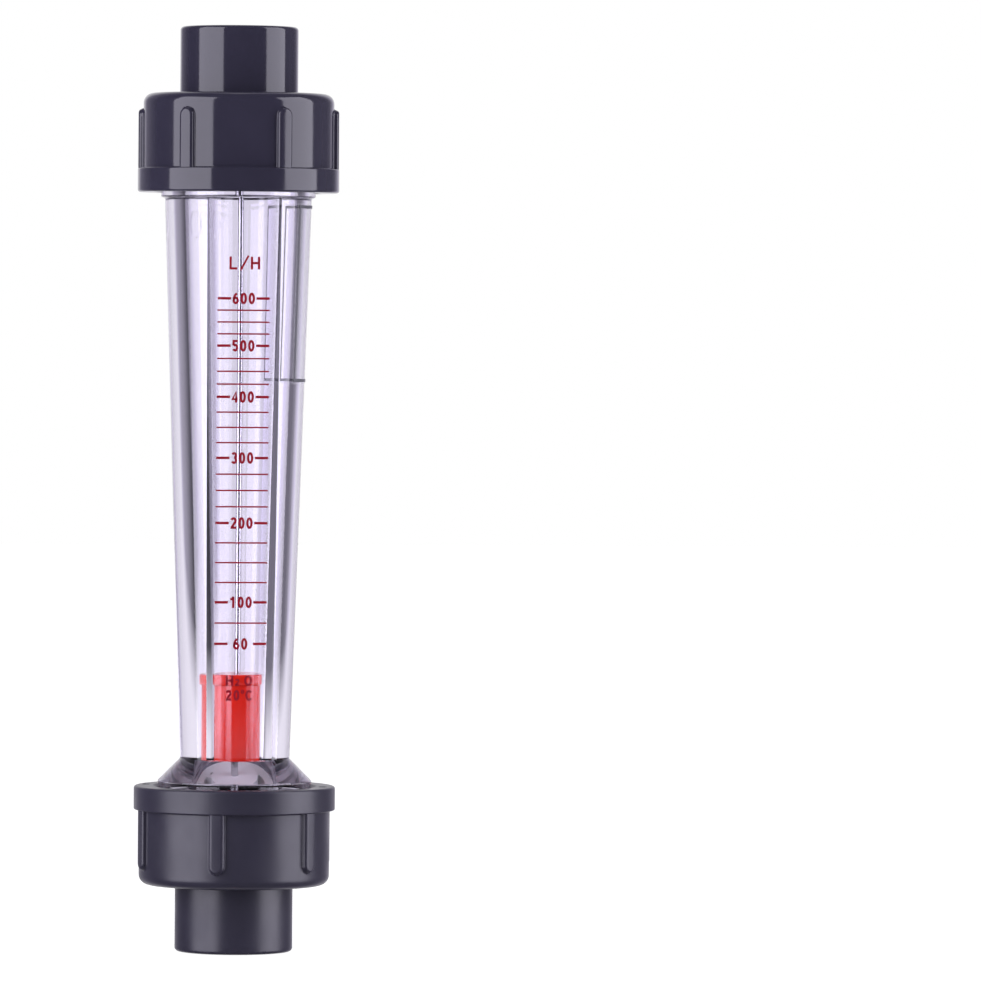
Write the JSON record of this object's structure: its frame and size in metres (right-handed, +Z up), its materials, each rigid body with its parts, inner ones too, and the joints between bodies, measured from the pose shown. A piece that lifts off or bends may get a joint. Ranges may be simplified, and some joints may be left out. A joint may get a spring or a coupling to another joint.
{
  "type": "variable area water flow meter",
  "caption": "Upright clear tapered tube with a red float on a rod and a printed flow scale, held by ribbed union nuts between two plain pipe sockets.",
  "frame": {"origin": "centre of the lower socket's rim, on the tube's axis, at the bottom of the object", "axes": "+Z up along the tube, in the direction of flow; -Y is the front, which the flat scale face looks to; +X is to the right of it"},
  "size_m": [0.0446, 0.0446, 0.2046],
  "materials": {
    "clear_plastic": "polished",
    "label_film": "satin",
    "grey_pvc": "gloss",
    "white_plastic": "satin",
    "red_plastic": "gloss",
    "black_rubber": "matt",
    "steel": "polished"
  },
  "bodies": {
    "lower_socket": {"lower_pipe_socket": "grey_pvc", "lower_seal_ring": "black_rubber"},
    "lower_nut": {"lower_union_nut": "grey_pvc"},
    "tube": {"measuring_tube": "clear_plastic", "label_film": "label_film", "guide_rod": "steel", "upper_stop": "white_plastic", "lower_stop": "white_plastic", "upper_rod_nut": "steel", "lower_rod_nut": "steel", "upper_washer": "steel", "lower_washer": "steel", "upper_bumper": "black_rubber", "lower_bumper": "black_rubber"},
    "float": {"float_body": "red_plastic", "float_cap": "red_plastic", "float_core": "steel"},
    "upper_socket": {"upper_pipe_socket": "grey_pvc", "upper_seal_ring": "black_rubber"},
    "upper_nut": {"upper_union_nut": "grey_pvc"}
  },
  "joints": [
    {"name": "lower_nut_turn", "type": "hinge", "parent": "lower_socket", "child": "lower_nut", "pos_m": [0, 0, 0.0275], "axis": [0, 0, -1], "range_deg": [0, 1440]},
    {"name": "tube_lift", "type": "slide", "parent": "lower_socket", "child": "tube", "axis": [0, 0, 1], "range_m": [0, 0.012]},
    {"name": "float_rise", "type": "slide", "parent": "tube", "child": "float", "axis": [0, 0, 1], "range_m": [0, 0.1087]},
    {"name": "upper_socket_lift", "type": "slide", "parent": "tube", "child": "upper_socket", "axis": [0, 0, 1], "range_m": [0, 0.012]},
    {"name": "upper_nut_turn", "type": "hinge", "parent": "upper_socket", "child": "upper_nut", "pos_m": [0, 0, 0.1771], "axis": [0, 0, 1], "range_deg": [0, 1440]}
  ],
  "couplings": [
    {"joint": "lower_nut_turn", "follows": "tube_lift", "rad_per_m": 2094.4},
    {"joint": "upper_nut_turn", "follows": "upper_socket_lift", "rad_per_m": 2094.4}
  ]
}
